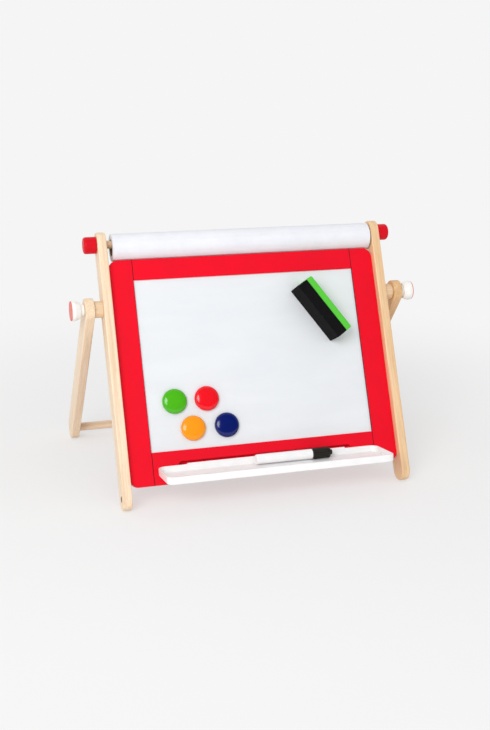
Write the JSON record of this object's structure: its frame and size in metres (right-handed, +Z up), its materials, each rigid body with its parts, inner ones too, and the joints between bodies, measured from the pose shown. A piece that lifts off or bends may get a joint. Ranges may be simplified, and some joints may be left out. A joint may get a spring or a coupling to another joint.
{
  "type": "magnetic desk whiteboard easel",
  "caption": "Desk easel: a magnetic whiteboard in a painted frame between wooden legs, with a rear stand that folds on clamp knobs, a paper roll, a tray, magnets, an eraser and a marker.",
  "frame": {"origin": "on the table, at the middle of the whole easel's width and depth as it stands", "axes": "+X to the viewer's right, +Y to the back, +Z up; the writing face looks towards -Y and leans back"},
  "size_m": [0.4386, 0.3226, 0.3052],
  "materials": {
    "leg_wood": "pale, fine-grained, clear matt lacquer",
    "dowel_wood": "plain turned rod",
    "red_paint": "satin red paint over wood",
    "cap_paint": "gloss red paint over wood",
    "sheet_enamel": "gloss white enamel",
    "panel_coat": "matt dark writing coat on hardboard",
    "insert_brass": "plain",
    "knob_plastic": "moulded",
    "knob_disc": "moulded",
    "stud_steel": "zinc plated",
    "core_card": "spiral-wound card",
    "paper": "wound drawing paper",
    "tray_plastic": "moulded",
    "magnet_green": "moulded",
    "magnet_red": "moulded",
    "magnet_orange": "moulded",
    "magnet_blue": "moulded",
    "ferrite": "sintered, matt",
    "felt": "dense felt",
    "grip_plastic": "moulded",
    "marker_white": "moulded",
    "marker_wick": "fibre",
    "marker_black": "moulded"
  },
  "bodies": {
    "board": {"left_front_leg": "leg_wood", "right_front_leg": "leg_wood", "left_stile": "red_paint", "right_stile": "red_paint", "top_rail": "red_paint", "bottom_rail": "red_paint", "whiteboard_sheet": "sheet_enamel", "backing_panel": "panel_coat", "frame_dowels": "dowel_wood", "leg_dowels": "dowel_wood", "left_insert_nut": "insert_brass", "right_insert_nut": "insert_brass", "left_spacer": "leg_wood", "right_spacer": "leg_wood"},
    "stand": {"left_rear_leg": "leg_wood", "right_rear_leg": "leg_wood", "rear_crossbar": "dowel_wood"},
    "left_clamp": {"left_knob": "knob_plastic", "left_knob_disc": "knob_disc", "left_stud": "stud_steel"},
    "right_clamp": {"right_knob": "knob_plastic", "right_knob_disc": "knob_disc", "right_stud": "stud_steel"},
    "right_cap": {"right_rod_cap": "cap_paint"},
    "rod": {"rod": "dowel_wood"},
    "left_cap": {"left_rod_cap": "cap_paint"},
    "roll": {"roll_core": "core_card", "paper_roll": "paper"},
    "tray": {"tray": "tray_plastic"},
    "marker": {"marker_barrel": "marker_white", "marker_plug": "marker_white", "marker_nib": "marker_wick"},
    "marker_cap": {"marker_cap": "marker_black"},
    "green_magnet": {"green_magnet_cap": "magnet_green", "green_magnet_disc": "ferrite"},
    "red_magnet": {"red_magnet_cap": "magnet_red", "red_magnet_disc": "ferrite"},
    "orange_magnet": {"orange_magnet_cap": "magnet_orange", "orange_magnet_disc": "ferrite"},
    "blue_magnet": {"blue_magnet_cap": "magnet_blue", "blue_magnet_disc": "ferrite"},
    "eraser": {"eraser_felt": "felt", "eraser_grip": "grip_plastic", "eraser_magnet": "ferrite"}
  },
  "joints": [
    {"name": "stand_fold", "type": "hinge", "parent": "board", "child": "stand", "pos_m": [0, -0.01396, 0.21923], "axis": [1, 0, 0], "range_deg": [-126, 26]},
    {"name": "left_knob_turn", "type": "hinge", "parent": "board", "child": "left_clamp", "pos_m": [-0.203, -0.01396, 0.21923], "axis": [-1, 0, 0], "range_deg": [0, 720]},
    {"name": "right_knob_turn", "type": "hinge", "parent": "board", "child": "right_clamp", "pos_m": [0.203, -0.01396, 0.21923], "axis": [1, 0, 0], "range_deg": [0, 720]},
    {"name": "rod_pull", "type": "slide", "parent": "board", "child": "right_cap", "axis": [1, 0, 0], "range_m": [0, 0.375]},
    {"name": "rod_spin", "type": "hinge", "parent": "right_cap", "child": "rod", "pos_m": [0, 0.01921, 0.29038], "axis": [1, 0, 0], "continuous": true},
    {"name": "left_cap_pull", "type": "slide", "parent": "board", "child": "left_cap", "axis": [-1, 0, 0], "range_m": [0, 0.02]},
    {"name": "roll_spin", "type": "hinge", "parent": "board", "child": "roll", "pos_m": [0, 0.01921, 0.28628], "axis": [1, 0, 0], "continuous": true},
    {"name": "tray_pull", "type": "slide", "parent": "board", "child": "tray", "axis": [0, -0.9063, 0.4226], "range_m": [0, 0.03]},
    {"name": "marker_lift", "type": "slide", "parent": "tray", "child": "marker", "axis": [0, 0.165, 0.9863], "range_m": [0, 0.03]},
    {"name": "marker_cap_pull", "type": "slide", "parent": "marker", "child": "marker_cap", "axis": [1, 0, 0], "range_m": [0, 0.03]},
    {"name": "green_magnet_pull", "type": "slide", "parent": "board", "child": "green_magnet", "axis": [0, -0.9063, 0.4226], "range_m": [0, 0.03]},
    {"name": "red_magnet_pull", "type": "slide", "parent": "board", "child": "red_magnet", "axis": [0, -0.9063, 0.4226], "range_m": [0, 0.03]},
    {"name": "orange_magnet_pull", "type": "slide", "parent": "board", "child": "orange_magnet", "axis": [0, -0.9063, 0.4226], "range_m": [0, 0.03]},
    {"name": "blue_magnet_pull", "type": "slide", "parent": "board", "child": "blue_magnet", "axis": [0, -0.9063, 0.4226], "range_m": [0, 0.03]},
    {"name": "eraser_pull", "type": "slide", "parent": "board", "child": "eraser", "axis": [0, -0.9063, 0.4226], "range_m": [0, 0.04]}
  ]
}
